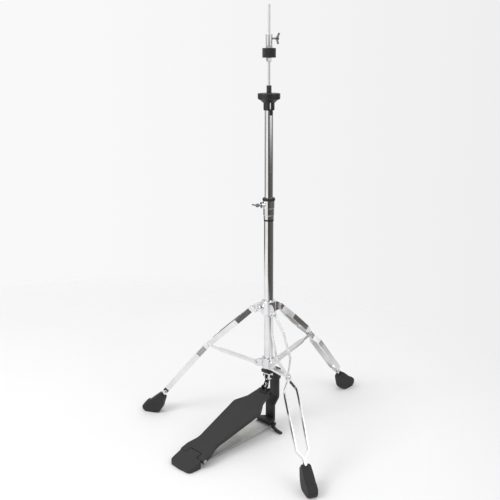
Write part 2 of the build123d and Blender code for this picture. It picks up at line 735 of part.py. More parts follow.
# ---------------------------------------------------------------- tripod collars
ear_half = 3.5
collar_wing_azimuth = 252.0
collar_wing_z = 359.0
with BuildPart() as upper_collar:
    with BuildSketch(Plane.XZ):
        with BuildLine():
            Polyline((collar_bore_r, upper_collar_z[0]), (18.0, upper_collar_z[0]), (19.6, 336.5),
                     (19.6, 373.0), (18.0, upper_collar_z[1]), (collar_bore_r, upper_collar_z[1]),
                     close=True)
        make_face()
    revolve(axis=Axis.Z)
    for azimuth in LEG_AZIMUTHS.values():
        with BuildSketch(upright_plane(azimuth)):
            with BuildLine():
                Polyline((16, 338), (40, 340), (leg_pivot[0], 341.9), (leg_pivot[0], 355.9),
                         (32, 364), (16, 368), close=True)
            make_face()
            with Locations(leg_pivot):
                Circle(7.0)
                Circle(leg_rivet_r + eye_gap, mode=Mode.SUBTRACT)
        extrude(amount=ear_half, both=True)
    boss = Plane(origin=at_leg(collar_wing_azimuth, 14, collar_wing_z),
                 z_dir=radial(collar_wing_azimuth))
    with BuildSketch(boss):
        Circle(7.5)
    extrude(amount=9)
    with BuildSketch(Plane.XY.offset(upper_collar_z[0])):
        Circle(collar_bore_r)
    extrude(amount=50, mode=Mode.SUBTRACT)
    with BuildSketch(boss.offset(-3)):
        Circle(3.0 + eye_gap)
    extrude(amount=14, mode=Mode.SUBTRACT)
save(upper_collar, "upper_collar")

collar_wing = wing_screw(
    at_leg(collar_wing_azimuth, 0, collar_wing_z), radial(collar_wing_azimuth),
    Vector(0, 0, 1) + tangent(collar_wing_azimuth) * 0.5, (3.0, 12.9, 31),
    (5.5, 27, 36), (28, 35, 16, 3.5), 4)
save(collar_wing, "collar_wing_screw")

lug_half = 6.2
with BuildPart() as lower_collar:
    with BuildSketch(Plane.XY.offset(lower_collar_z[0])):
        Circle(19.0)
    extrude(amount=lower_collar_z[1] - lower_collar_z[0])
    chamfer(lower_collar.edges(), 1.0)
    for azimuth in LEG_AZIMUTHS.values():
        with BuildSketch(upright_plane(azimuth)):
            with BuildLine():
                Polyline((15, 181), (31, 181), (brace_pivot[0], 184), (brace_pivot[0], 196),
                         (29, 200), (15, 200), close=True)
            make_face()
            with Locations(brace_pivot):
                Circle(6.0)
                Circle(brace_rivet_r, mode=Mode.SUBTRACT)
        extrude(amount=lug_half, both=True)
    with BuildSketch(Plane.XY.offset(lower_collar_z[0])):
        Circle(collar_bore_r)
    extrude(amount=40, mode=Mode.SUBTRACT)
save(lower_collar, "lower_collar")

# split ring on the tube that keeps the lower collar down
collar_keeper = ring(lower_collar_z[1] + 0.3, lower_collar_z[1] + 2.3, 14.2, lower_tube_r)
save(collar_keeper, "collar_keeper_ring")

# ---------------------------------------------------------------- braces
brace_length = distance(brace_pivot, leg_knee)
brace_half = 8.0
brace_wall = 1.5
tongue_end = brace_length - 30
for name, azimuth in LEG_AZIMUTHS.items():
    top_plane = length_plane(azimuth, brace_pivot, leg_knee)
    with BuildPart() as brace:
        with BuildSketch(top_plane):
            with BuildLine():
                Polyline((9, -brace_half), (tongue_end - 16, -brace_half), (tongue_end, -2.5),
                         (brace_length, -2.5), (brace_length, 2.5), (tongue_end, 2.5),
                         (tongue_end - 16, brace_half), (9, brace_half), close=True)
            make_face()
        extrude(amount=3, both=True)
        # open the channel from below, leaving the web on top
        with BuildSketch(top_plane.offset(1.5)):
            with Locations(((tongue_end - 20) / 2, 0)):
                Rectangle(tongue_end - 16, 2 * (brace_half - brace_wall))
        extrude(amount=-10, mode=Mode.SUBTRACT)
        # ears on either side of the collar's lug
        for side in (-1, 1):
            ear_plane = upright_plane(azimuth, side * (brace_half - brace_wall))
            with BuildSketch(ear_plane):
                with Locations(brace_pivot):
                    Circle(5.0)
                with BuildLine():
                    Polyline(*[(brace_pivot[0] + s * cos(a) - n * sin(a),
                                brace_pivot[1] + s * sin(a) + n * cos(a))
                               for a in [atan2(leg_knee[1] - brace_pivot[1],
                                               leg_knee[0] - brace_pivot[0])]
                               for s, n in ((0, -3), (14, -3), (14, 3), (0, 3))], close=True)
                make_face()
                with Locations(brace_pivot):
                    Circle(brace_rivet_r + eye_gap, mode=Mode.SUBTRACT)
            extrude(amount=-side * brace_wall)
        # eye at the outer end, which lies between the leg's strips
        with BuildSketch(upright_plane(azimuth)):
            with Locations(leg_knee):
                Circle(6.5)
                Circle(leg_rivet_r, mode=Mode.SUBTRACT)
        extrude(amount=2.5, both=True)
        with BuildSketch(upright_plane(azimuth)):
            with Locations(leg_knee):
                Circle(leg_rivet_r)
        extrude(amount=4, both=True, mode=Mode.SUBTRACT)
    save(brace, f"brace_{name}")

with BuildPart() as brace_rivets:
    for azimuth in LEG_AZIMUTHS.values():
        with BuildSketch(upright_plane(azimuth)):
            with Locations(brace_pivot):
                Circle(brace_rivet_r)
        extrude(amount=brace_half + 1.8, both=True)
        for side in (-1, 1):
            with BuildSketch(upright_plane(azimuth, side * (brace_half + 0.1))):
                with Locations(brace_pivot):
                    Circle(4.2)
            extrude(amount=-side * 1.8)
save(brace_rivets, "brace_rivets")

# ---------------------------------------------------------------- legs
leg_length = distance(leg_pivot, leg_toe)
knee_along = ((leg_knee[0] - leg_pivot[0]) * (leg_toe[0] - leg_pivot[0])
              + (leg_knee[1] - leg_pivot[1]) * (leg_toe[1] - leg_pivot[1])) / leg_length
hub_offset = ear_half + side_gap + strip_thickness / 2      # strip's middle beside the ear
knee_offset = 2.8 + strip_thickness / 2                     # beside the brace's tongue
toe_offset = 0.2 + strip_thickness / 2                      # the pair closes up at the foot
strip_bow = (
    (-10, hub_offset), (10, hub_offset), (58, 15.6), (132, 18.1),
    (knee_along - 12, knee_offset), (knee_along + 12, knee_offset),
    (215, 16.8), (234, 17.6), (368, 15.2), (386, toe_offset), (432, toe_offset))
foot_rivet_s = 394.5
knee_bend_r = 600.0


def along_leg(distance_out):
    """Point on the straight line from the leg's pivot to its foot, in (radius, height)."""
    share = distance_out / leg_length
    return (leg_pivot[0] + (leg_toe[0] - leg_pivot[0]) * share,
            leg_pivot[1] + (leg_toe[1] - leg_pivot[1]) * share)


foot_rivet = along_leg(foot_rivet_s)
strip_end = along_leg(425.0)


def leg_strip(azimuth, side):
    """One bowed strip: its bow seen along the leg, cut to its side outline."""
    with BuildPart() as strip:
        with BuildSketch(length_plane(azimuth, leg_pivot, leg_toe)):
            with BuildLine():
                FilletPolyline(*[(s, side * t) for s, t in strip_bow], radius=12)
            trace(line_width=strip_thickness)
        extrude(amount=34, both=True)
        with BuildSketch(upright_plane(azimuth)):
            with BuildLine():
                FilletPolyline(strip_end, leg_knee, leg_pivot, radius=knee_bend_r)
            trace(line_width=strip_width)
            with Locations(leg_pivot):
                Circle(strip_width / 2)
        extrude(amount=30, both=True, mode=Mode.INTERSECT)
        with BuildSketch(upright_plane(azimuth)):
            with Locations(leg_pivot, leg_knee, foot_rivet):
                Circle(leg_rivet_r)
        extrude(amount=30, both=True, mode=Mode.SUBTRACT)
    return strip


# the foot's side outline, with a raised lip at its outer end, and its plan along the leg
foot_side = ((311.5, 46), (320, 60.5), (327.5, 60.5), (364.5, 30.5), (366.8, 32.6), (376, 25.4),
             (381.5, 17), (381.5, 8), (374, 0), (337, 0), (328, 4.5), (321.5, 15))
foot_side_radii = (3, 4, 5, 0.8, 1.2, 5, 6, 8, 8, 6, 6, 8)
foot_plan = ((395, -7.5), (405, -12.4), (430, -13.6), (467, -13.6), (482, -11.6),
             (482, 11.6), (467, 13.6), (430, 13.6), (405, 12.4), (395, 7.5))
for name, azimuth in LEG_AZIMUTHS.items():
    strips = {}
    for hand, side in (("a", -1), ("b", 1)):
        strips[hand] = leg_strip(azimuth, side)
        save(strips[hand], f"leg_{name}_strip_{hand}")

    with BuildPart() as rivets:
        # the pivot in the collar's ear goes right through
        pivot_reach = hub_offset + strip_thickness / 2
        knee_reach = knee_offset + strip_thickness / 2
        foot_reach = toe_offset + strip_thickness / 2
        for centre, inner, outer, head in (
                (leg_pivot, 0.0, pivot_reach, 5.5),
                (leg_knee, knee_offset - strip_thickness / 2, knee_reach, 5.5),
                (foot_rivet, 0.0, foot_reach, 4.8)):
            for side in (-1, 1):
                with BuildSketch(upright_plane(azimuth, side * inner)):
                    with Locations(centre):
                        Circle(leg_rivet_r)
                extrude(amount=-side * (outer - inner))
                with BuildSketch(upright_plane(azimuth, side * outer)):
                    with Locations(centre):
                        Circle(head)
                extrude(amount=-side * 1.8)
    save(rivets, f"leg_{name}_rivets")

    with BuildPart() as foot:
        with BuildSketch(upright_plane(azimuth)):
            with BuildLine():
                FilletPolyline(*foot_side, radius=list(foot_side_radii), close=True)
            make_face()
        extrude(amount=16, both=True)
        with BuildSketch(length_plane(azimuth, leg_pivot, leg_toe).offset(-60)):
            with BuildLine():
                FilletPolyline(*foot_plan, radius=4, close=True)
            make_face()
        extrude(amount=120, mode=Mode.INTERSECT)
        for strip in strips.values():
            add(strip.part, mode=Mode.SUBTRACT)
    save(foot, f"rubber_foot_{name}")
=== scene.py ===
import json
import math

import bmesh
import bpy
from mathutils import Matrix, Vector, noise


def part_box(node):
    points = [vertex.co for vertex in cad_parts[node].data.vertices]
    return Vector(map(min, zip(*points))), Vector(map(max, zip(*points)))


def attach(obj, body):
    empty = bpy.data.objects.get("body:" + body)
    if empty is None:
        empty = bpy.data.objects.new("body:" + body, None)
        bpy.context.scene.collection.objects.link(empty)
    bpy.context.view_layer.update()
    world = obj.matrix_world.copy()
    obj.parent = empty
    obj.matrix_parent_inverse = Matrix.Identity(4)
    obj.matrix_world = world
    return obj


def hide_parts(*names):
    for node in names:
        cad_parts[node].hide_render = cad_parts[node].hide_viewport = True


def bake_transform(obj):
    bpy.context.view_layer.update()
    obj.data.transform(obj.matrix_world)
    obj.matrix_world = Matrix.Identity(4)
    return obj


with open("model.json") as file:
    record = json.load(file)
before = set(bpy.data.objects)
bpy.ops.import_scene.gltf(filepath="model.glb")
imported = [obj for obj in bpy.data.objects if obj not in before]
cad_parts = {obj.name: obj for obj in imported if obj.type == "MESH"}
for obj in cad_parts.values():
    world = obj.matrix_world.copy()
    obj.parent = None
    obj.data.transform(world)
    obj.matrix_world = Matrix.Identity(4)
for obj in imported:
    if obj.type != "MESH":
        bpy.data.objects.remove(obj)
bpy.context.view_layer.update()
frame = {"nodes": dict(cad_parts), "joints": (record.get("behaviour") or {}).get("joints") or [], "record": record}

# Looks for a hi-hat stand. Everything is in metres in the model's frame: +Z up, the tube on the
# Z axis, the pedal to -Y. Most pieces are the CAD solids with rounded edges. The wing screws, the
# clutch's nuts, felts and thread, and the feet's grooves are built here.

MM = 0.001
LEGS = ("rear", "left", "right")
joints = {joint["name"]: joint for joint in frame["joints"]}


# ------------------------------------------------------------------ node helpers
class Shader:
    """A material's node tree, with short ways to add and join nodes."""

    def __init__(self, name):
        self.material = bpy.data.materials.new(name)
        self.material.use_nodes = True
        self.tree = self.material.node_tree
        self.bsdf = self.tree.nodes["Principled BSDF"]
        self.coordinate = self.add("ShaderNodeTexCoord").outputs["Object"]

    def add(self, kind, **values):
        node = self.tree.nodes.new(kind)
        for key, value in values.items():
            setattr(node, key, value)
        return node

    def join(self, source, target):
        self.tree.links.new(source, target)

    def stretched(self, scale):
        """Object coordinates scaled unevenly, for streaks along one axis."""
        mapping = self.add("ShaderNodeMapping")
        mapping.inputs["Scale"].default_value = scale
        self.join(self.coordinate, mapping.inputs["Vector"])
        return mapping.outputs["Vector"]

    def noise(self, scale, detail=4.0, rough=0.55, vector=None):
        node = self.add("ShaderNodeTexNoise")
        node.inputs["Scale"].default_value = scale
        node.inputs["Detail"].default_value = detail
        node.inputs["Roughness"].default_value = rough
        self.join(vector or self.coordinate, node.inputs["Vector"])
        return node.outputs["Fac"]

    def cells(self, scale):
        node = self.add("ShaderNodeTexVoronoi", feature="F1")
        node.inputs["Scale"].default_value = scale
        self.join(self.coordinate, node.inputs["Vector"])
        return node.outputs["Distance"]

    def spread(self, value, low, high, to_low=0.0, to_high=1.0):
        node = self.add("ShaderNodeMapRange")
        node.inputs["From Min"].default_value = low
        node.inputs["From Max"].default_value = high
        node.inputs["To Min"].default_value = to_low
        node.inputs["To Max"].default_value = to_high
        self.join(value, node.inputs["Value"])
        return node.outputs["Result"]

    def math(self, operation, a, b):
        node = self.add("ShaderNodeMath", operation=operation)
        for socket, value in zip(node.inputs, (a, b)):
            if isinstance(value, (int, float)):
                socket.default_value = value
            else:
                self.join(value, socket)
        return node.outputs[0]

    def mix(self, factor, first, second):
        node = self.add("ShaderNodeMix", data_type="RGBA")
        self.join(factor, node.inputs[0])
        for socket, value in ((node.inputs[6], first), (node.inputs[7], second)):
            if isinstance(value, tuple):
                socket.default_value = (*value, 1.0)
            else:
                self.join(value, socket)
        return node.outputs[2]

    def edges(self, radius):
        """1 on sharp edges, 0 on flats and smooth curves."""
        bevel = self.add("ShaderNodeBevel", samples=4)
        bevel.inputs["Radius"].default_value = radius
        geometry = self.add("ShaderNodeNewGeometry")
        dot = self.add("ShaderNodeVectorMath", operation="DOT_PRODUCT")
        self.join(bevel.outputs["Normal"], dot.inputs[0])
        self.join(geometry.outputs["True Normal"], dot.inputs[1])
        return self.spread(dot.outputs["Value"], 0.97, 0.80)

    def bump(self, height, strength, distance):
        node = self.add("ShaderNodeBump")
        node.inputs["Strength"].default_value = strength
        node.inputs["Distance"].default_value = distance
        self.join(height, node.inputs["Height"])
        self.join(node.outputs["Normal"], self.bsdf.inputs["Normal"])

    def surface(self, colour, roughness):
        self.join(colour, self.bsdf.inputs["Base Color"])
        self.join(roughness, self.bsdf.inputs["Roughness"])


def polished_metal(name, bright, dull, rough, streak, ripple, wear=0.35):
    """Plated or drawn metal: faint haze, fine streaks and a slight ripple in the reflections."""
    s = Shader(name)
    s.bsdf.inputs["Metallic"].default_value = 1.0
    haze = s.spread(s.noise(26, 6), 0.35, 0.72)
    lines = s.noise(1.0, 3, vector=s.stretched(streak))
    specks = s.spread(s.cells(420), 0.0, 0.10, 1.0, 0.0)
    worn = s.math("MAXIMUM", s.math("MULTIPLY", specks, 0.25), s.edges(0.6 * MM))
    colour = s.mix(haze, bright, dull)
    colour = s.mix(s.math("MULTIPLY", worn, wear), colour, tuple(0.6 * c for c in dull))
    roughness = s.math("ADD", s.spread(haze, 0, 1, rough[0], rough[1]),
                       s.spread(lines, 0.3, 0.7, 0.0, 0.04))
    s.surface(colour, roughness)
    relief = s.math("ADD", s.math("MULTIPLY", s.noise(90, 2), ripple),
                    s.math("MULTIPLY", lines, 0.15))
    s.bump(relief, 0.12, 0.2 * MM)
    return s.material


def coated_metal(name, dark, light, rough, grain, edge):
    """Powder coat: a fine pebbled skin, slightly worn along its edges."""
    s = Shader(name)
    patches = s.spread(s.noise(18, 5), 0.3, 0.7)
    pebbles = s.noise(grain, 2, 0.6)
    dust = s.spread(s.noise(150, 8, 0.7), 0.58, 0.75)
    colour = s.mix(patches, dark, light)
    colour = s.mix(s.math("MULTIPLY", dust, 0.18), colour, tuple(min(1.0, 2.4 * c) for c in light))
    colour = s.mix(s.math("MULTIPLY", s.edges(0.9 * MM), edge), colour,
                   tuple(min(1.0, 4.0 * c) for c in light))
    s.surface(colour, s.spread(s.math("ADD", patches, pebbles), 0.4, 1.5, rough[0], rough[1]))
    s.bump(s.math("ADD", pebbles, s.math("MULTIPLY", s.cells(grain * 0.45), 0.7)), 0.35, 0.12 * MM)
    s.bsdf.inputs["Specular IOR Level"].default_value = 0.45
    return s.material


def moulded(name, dark, light, rough, grain, depth, specular=0.4):
    """Moulded rubber or nylon: soft mottling, fine grain and scuffs."""
    s = Shader(name)
    mottling = s.spread(s.noise(35, 6), 0.3, 0.7)
    scuffs = s.spread(s.noise(1.0, 5, vector=s.stretched((55, 210, 90))), 0.60, 0.74)
    colour = s.mix(mottling, dark, light)
    colour = s.mix(s.math("MULTIPLY", scuffs, 0.3), colour, tuple(2.2 * c for c in light))
    colour = s.mix(s.math("MULTIPLY", s.edges(1.0 * MM), 0.25), colour, tuple(2.5 * c for c in light))
    s.surface(colour, s.spread(s.math("ADD", mottling, scuffs), 0.0, 1.6, rough[0], rough[1]))
    s.bump(s.math("ADD", s.noise(grain, 3), s.math("MULTIPLY", s.cells(grain * 0.6), 0.5)), 0.3, depth)
    s.bsdf.inputs["Specular IOR Level"].default_value = specular
    return s.material


def felted(name):
    """Pressed wool felt: matted fibres with a soft sheen."""
    s = Shader(name)
    fibres = s.noise(1.0, 8, 0.75, vector=s.stretched((900, 900, 2600)))
    tufts = s.noise(420, 6, 0.7)
    matt = s.math("ADD", s.math("MULTIPLY", fibres, 0.6), s.math("MULTIPLY", tufts, 0.6))
    s.surface(s.mix(s.spread(matt, 0.35, 0.85), (0.006, 0.006, 0.007), (0.034, 0.034, 0.036)),
              s.spread(matt, 0.3, 0.9, 0.98, 0.84))
    s.bump(matt, 0.9, 0.5 * MM)
    s.bsdf.inputs["Sheen Weight"].default_value = 0.25
    s.bsdf.inputs["Sheen Roughness"].default_value = 0.6
    s.bsdf.inputs["Specular IOR Level"].default_value = 0.2
    return s.material


chrome_bright, chrome_dull = (0.80, 0.80, 0.81), (0.68, 0.68, 0.69)
METALS = {
    # bright, dull, roughness from and to, streaks, ripple, wear
    "tube_chrome": (chrome_bright, chrome_dull, (0.05, 0.13), (420, 420, 4), 0.5),
    "chrome": (chrome_bright, chrome_dull, (0.06, 0.16), (160, 160, 90), 1.0),
    "rod_steel": ((0.76, 0.76, 0.76), (0.70, 0.70, 0.70), (0.30, 0.42), (700, 700, 6), 0.2, 0.1),
    "spring_steel": ((0.50, 0.50, 0.49), (0.36, 0.36, 0.35), (0.25, 0.40), (300, 300, 40), 0.8),
    "gunmetal": ((0.22, 0.22, 0.225), (0.15, 0.15, 0.152), (0.16, 0.30), (200, 200, 90), 1.0),
    "plate_steel": ((0.62, 0.62, 0.61), (0.52, 0.52, 0.51), (0.38, 0.55), (520, 5, 300), 1.4),
    "zinc": ((0.42, 0.42, 0.41), (0.30, 0.30, 0.29), (0.25, 0.42), (300, 300, 40), 1.2),
    "black_oxide": ((0.045, 0.045, 0.048), (0.025, 0.025, 0.026), (0.28, 0.45), (260, 260, 80), 1.0),
    "seat_steel": ((0.085, 0.085, 0.088), (0.05, 0.05, 0.052), (0.24, 0.38), (600, 600, 8), 0.8),
}
COATS = {
    # dark, light, roughness from and to, grain, worn edges
    "frame_black": ((0.010, 0.010, 0.011), (0.016, 0.016, 0.017), (0.42, 0.62), 900, 0.35),
    "board_black": ((0.017, 0.017, 0.018), (0.025, 0.025, 0.026), (0.52, 0.72), 1300, 0.25),
}
MOULDINGS = {
    # dark, light, roughness from and to, grain, depth of the grain, specular
    "foot_rubber": ((0.013, 0.013, 0.014), (0.022, 0.022, 0.023), (0.55, 0.85), 800, 0.12 * MM),
    "black_nylon": ((0.009, 0.009, 0.010), (0.014, 0.014, 0.015), (0.34, 0.52), 1100, 0.05 * MM, 0.5),
}
LOOKS = {}
for maker, table in ((polished_metal, METALS), (coated_metal, COATS), (moulded, MOULDINGS)):
    for look, values in table.items():
        LOOKS[look] = maker(look, *values)
LOOKS["black_felt"] = felted("black_felt")


# ------------------------------------------------------------------ mesh helpers
def new_object(name, mesh):
    piece = bpy.data.objects.new(name, mesh)
    bpy.context.scene.collection.objects.link(piece)
    return piece


def from_bmesh(name, bm):
    mesh = bpy.data.meshes.new(name)
    bm.normal_update()
    bm.to_mesh(mesh)
    bm.free()
    return new_object(name, mesh)


def baked(piece):
    """Applies a piece's modifiers to its mesh."""
    bpy.context.view_layer.update()
    evaluated = piece.evaluated_get(bpy.context.evaluated_depsgraph_get())
    mesh = bpy.data.meshes.new_from_object(evaluated)
    piece.modifiers.clear()
    piece.data = mesh
    return piece


def smooth_shading(piece, degrees=32):
    piece.data.shade_smooth()
    piece.data.set_sharp_from_angle(angle=math.radians(degrees))
    return piece


def dress(piece, look, slot, body, *replaced):
    """Gives a piece its material and body, and hides the CAD nodes that it stands for; slot is not used."""
    piece.data.materials.clear()
    piece.data.materials.append(LOOKS[look])
    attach(piece, body)
    if replaced:
        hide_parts(*replaced)
    return piece


def clean_copy(name, node):
    """A CAD node's mesh with its seams welded and its flat faces whole."""
    bm = bmesh.new()
    bm.from_mesh(frame["nodes"][node].data)
    bmesh.ops.remove_doubles(bm, verts=bm.verts, dist=0.002 * MM)
    bmesh.ops.dissolve_limit(bm, angle_limit=math.radians(0.4), verts=bm.verts, edges=bm.edges)
    return from_bmesh(name, bm)


def rounded(node, width, segments=3):
    """The CAD node's own shape with its sharp edges rounded off."""
    piece = clean_copy(node + ".piece", node)
    bevel = piece.modifiers.new("edges", "BEVEL")
    bevel.width = width * MM
    bevel.segments = segments
    bevel.limit_method = "ANGLE"
    bevel.angle_limit = math.radians(38)
    bevel.use_clamp_overlap = True
    bevel.miter_outer = "MITER_ARC"
    smooth_shading(baked(piece))
    # the broad faces keep their own normals, so that long tubes reflect straight
    normals = piece.modifiers.new("normals", "WEIGHTED_NORMAL")
    normals.keep_sharp = True
    normals.weight = 100
    return baked(piece)


def lathe(rings, origin, axis=(0, 0, 1), steps=96, shape=None):
    """A turned piece about axis through origin. rings: (height, radius) in mm from one end to
    the other. shape(angle, height, radius) may return another radius, for flutes or knurls."""
    bm = bmesh.new()
    turn = Vector(axis).to_track_quat("Z", "Y").to_matrix().to_4x4()
    place = Matrix.Translation(Vector(origin)) @ turn
    loops = []
    for height, radius in rings:
        loop = []
        for k in range(steps):
            angle = 2 * math.pi * k / steps
            r = shape(angle, height, radius) if shape else radius
            point = Vector((r * math.cos(angle) * MM, r * math.sin(angle) * MM, height * MM))
            loop.append(bm.verts.new(place @ point))
        loops.append(loop)
    for low, high in zip(loops, loops[1:]):
        for k in range(steps):
            n = (k + 1) % steps
            bm.faces.new((low[k], low[n], high[n], high[k]))
    return bm, loops


def closed_lathe(name, rings, capped=True, **where):
    """A lathe whose ends are closed: with caps, or, for a ring, by joining last to first."""
    bm, loops = lathe(rings, **where)
    if capped:
        bm.faces.new(list(reversed(loops[0])))
        bm.faces.new(loops[-1])
    else:
        first, last = loops[0], loops[-1]
        for k in range(len(first)):
            n = (k + 1) % len(first)
            bm.faces.new((last[k], last[n], first[n], first[k]))
    bmesh.ops.recalc_face_normals(bm, faces=bm.faces)
    return from_bmesh(name, bm)


def thread(name, origin, axis, radius, start, end, pitch, depth=0.35):
    """A round bar with a helical thread cut in it, in mm along axis from origin."""
    rings_per_turn = 10
    count = max(4, int((end - start) / pitch * rings_per_turn))
    rings = [(start + (end - start) * k / count, radius) for k in range(count + 1)]

    def helix(angle, height, r):
        # the groove runs out to half its depth over the first and last turn
        fade = max(0.0, min(1.0, (height - start) / pitch, (end - height) / pitch))
        phase = (height / pitch - angle / (2 * math.pi)) % 1.0
        groove = 0.5 + 0.5 * math.cos(2 * math.pi * phase)
        return r - depth * groove * fade - (1 - fade) * depth * 0.5

    return closed_lathe(name, rings, origin=origin, axis=axis, steps=40, shape=helix)


def merged(name, *pieces):
    """Joins several objects' meshes into one object."""
    bm = bmesh.new()
    for piece in pieces:
        bm.from_mesh(piece.data)
    for piece in pieces:
        mesh = piece.data
        bpy.data.objects.remove(piece)
        bpy.data.meshes.remove(mesh)
    return from_bmesh(name, bm)


def cast(piece, voxel, passes):
    """Melts overlapping solids into one cast body with soft inner corners."""
    remesh = piece.modifiers.new("cast", "REMESH")
    remesh.mode = "VOXEL"
    remesh.voxel_size = voxel * MM
    smooth = piece.modifiers.new("soft", "SMOOTH")
    smooth.factor = 0.5
    smooth.iterations = passes
    baked(piece)
    piece.data.shade_smooth()
    return piece


def blob(name, centre, axes, radii, power, steps=28):
    """A rounded block: a superellipsoid with half sizes radii (mm) along the three axes."""
    bm = bmesh.new()
    bmesh.ops.create_uvsphere(bm, u_segments=steps, v_segments=steps // 2, radius=1.0)
    for v in bm.verts:
        size = sum(abs(c) ** power for c in v.co) ** (1 / power)
        unit = v.co / size
        offsets = (Vector(a) * (u * r * MM) for a, u, r in zip(axes, unit, radii))
        v.co = Vector(centre) + sum(offsets, Vector())
    return from_bmesh(name, bm)


# ------------------------------------------------------------------ screws
def wing_screw(node, body, joint, root, up, shank, hub, wing, look):
    """A cast wing screw: threaded shank, waisted hub and two wings with thick tips.

    Distances in mm along the joint's axis from root. shank: (radius, start, end). hub: (radius,
    start, end). wing: (start, end, half span, thickness, how far the tips sweep outwards).
    """
    along = Vector(joints[joint]["axis"]).normalized()
    side = (Vector(up) - along * Vector(up).dot(along)).normalized()
    across = along.cross(side)
    origin = Vector(root)
    radius, start, end = hub
    middle = (start + end) / 2
    waist = [(start, radius * 0.80), (start + 0.8, radius * 0.96), (start + 1.6, radius),
             (middle, radius * 0.93), (end - 1.8, radius * 0.86), (end - 0.6, radius * 0.70),
             (end, radius * 0.35)]
    parts = [closed_lathe("hub", waist, origin=origin, axis=along, steps=48)]
    first, last, span, thick, sweep = wing
    # lobes of a wing from hub to tip: share of the half span, share of the sweep, size
    lobes = ((0.42, 0.30, 1.10), (0.66, 0.62, 0.95), (0.86, 1.0, 1.15))
    for way in (-1, 1):
        turn = Matrix.Rotation(-way * math.atan2(sweep, span), 3, across)
        for share, reach, width in lobes:
            spot = (origin + along * (((first + last) / 2 + sweep * reach) * MM)
                    + side * (way * span * share * MM))
            parts.append(blob("wing", spot, (turn @ along, turn @ side, across),
                              ((last - first) / 2 * width, span * 0.24, thick / 2 * width), 2.6))
    head = cast(merged(node + ".head", *parts), 0.45, 7)
    dress(head, look, "chrome", body, node)
    bar = thread(node + ".thread", origin, along, *shank, pitch=1.0)
    dress(smooth_shading(bar, 50), "zinc", "chrome", body)
    return head


def knurled_nut(name, centre_z, half, radius, bore, body, slot, look):
    """A round nut with a knurled rim and turned chamfers."""
    teeth, knurl_depth = 36, 0.45
    chamfer_width, chamfer_height = 1.2, 0.5

    def knurl(angle, height, r):
        return r - knurl_depth * abs(math.sin(angle * teeth / 2)) if r > radius - 0.2 else r

    rings = [(-half, bore), (-half, radius - chamfer_width), (-half + chamfer_height, radius),
             (half - chamfer_height, radius), (half, radius - chamfer_width), (half, bore)]
    piece = closed_lathe(name, rings, capped=False, origin=(0, 0, centre_z), steps=teeth * 6,
                         shape=knurl)
    return dress(smooth_shading(piece, 40), look, slot, body)


def placed_wing(node, body, joint, tilt, look="chrome", **sizes):
    """A wing screw on its joint. tilt: how far its wings are turned from the upright, or None
    for wings that lie level."""
    axis = Vector(joints[joint]["axis"])
    level = Vector((0, 0, 1)).cross(axis)
    up = level if tilt is None else Vector((0, 0, 1)) + level * tilt
    root = (0, 0, joints[joint]["pos_m"][2])
    return wing_screw(node, body, joint, root, up, look=look, **sizes)


placed_wing("clamp_wing_screw", "clamp_wing", "clamp_wing_turn", None, "gunmetal",
            shank=(2.9, 14.5, 31), hub=(5.2, 29.5, 36.5), wing=(33, 38.5, 15, 3.4, 4))
placed_wing("clutch_wing_screw", "clutch_wing", "clutch_wing_turn", 0.8, "gunmetal",
            shank=(2.4, 3.3, 20), hub=(4.7, 16.5, 25.0), wing=(18.0, 23, 15.5, 4.6, 2.5))
placed_wing("collar_wing_screw", "collar_wing", "collar_wing_turn", 0.5,
            shank=(2.9, 13.2, 31), hub=(5.5, 27, 35.5), wing=(29, 35, 15.5, 4.0, 4))


# ------------------------------------------------------------------ CAD shapes with rounded edges
ROUNDED = {
    # look: (slot, {node: radius of its edges in mm})
    "tube_chrome": ("chrome", {"lower_tube": 0.4, "upper_tube": 0.4}),
    "chrome": ("chrome", {
        "height_clamp": 0.5, "rod_clevis": 0.6, "clutch_body": 0.3, "clutch_bottom_nut": 0.5,
        "upper_collar": 0.7, "lower_collar": 0.7, "brace_rivets": 0.9, "toe_pin": 0.5,
        "chain_pins": 0.3, "collar_keeper_ring": 0.4,
        "leg_rear_rivets": 1.1, "leg_left_rivets": 1.1, "leg_right_rivets": 1.1,
        "brace_rear": 0.35, "brace_left": 0.35, "brace_right": 0.35,
        **{f"leg_{leg}_strip_{hand}": 0.7 for leg in LEGS for hand in "ab"}}),
    "zinc": ("chrome", {"heel_hinge_pin": 0.8}),
    "rod_steel": ("rod_steel", {"pull_rod_upper": 0.3, "pull_rod_lower": 0.3, "rod_coupler": 0.4}),
    "black_oxide": ("frame_black", {"base_fasteners": 0.4, "toe_bolt": 0.5, "chain_links": 0.25,
                                    "clevis_bolt": 0.5}),
    "frame_black": ("frame_black", {"frame_socket": 1.0, "frame_spine": 1.2, "frame_foot": 1.0,
                                    "outrigger": 1.2, "toe_clamp": 0.5}),
    "board_black": ("board_black", {"footboard": 0.9, "heel_plate": 1.0}),
    "plate_steel": ("plate_steel", {"base_plate": 0.5}),
    "foot_rubber": ("foot_rubber", {"frame_pad": 1.0, "heel_pad": 0.6}),
    "black_nylon": ("black_nylon", {"clamp_bush": 0.5, "clamp_ring": 0.4, "seat_neck": 0.5,
                                    "seat_cup": 0.5, "seat_lock_screw": 0.4, "rod_guide_bush": 0.3}),
    "seat_steel": ("seat_steel", {"seat_sleeve": 0.2}),
    "black_felt": ("black_felt", {"seat_washer": 0.6}),
}
body_of = {node: body for body, nodes in frame["record"]["behaviour"]["bodies"].items()
           for node in nodes}
for look, (slot, widths) in ROUNDED.items():
    for node, width in widths.items():
        dress(rounded(node, width), look, slot, body_of[node], node)

bush = frame["nodes"]["spring_seat_bush"]
bush.data.materials.clear()
bush.data.materials.append(LOOKS["black_nylon"])

# the return spring: a clean copy of the CAD spring, smooth shaded, in spring steel
spring = smooth_shading(clean_copy("return_spring.piece", "return_spring"), 60)
spring.data.materials.append(LOOKS["spring_steel"])
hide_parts("return_spring")
low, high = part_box("return_spring")
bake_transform(spring)


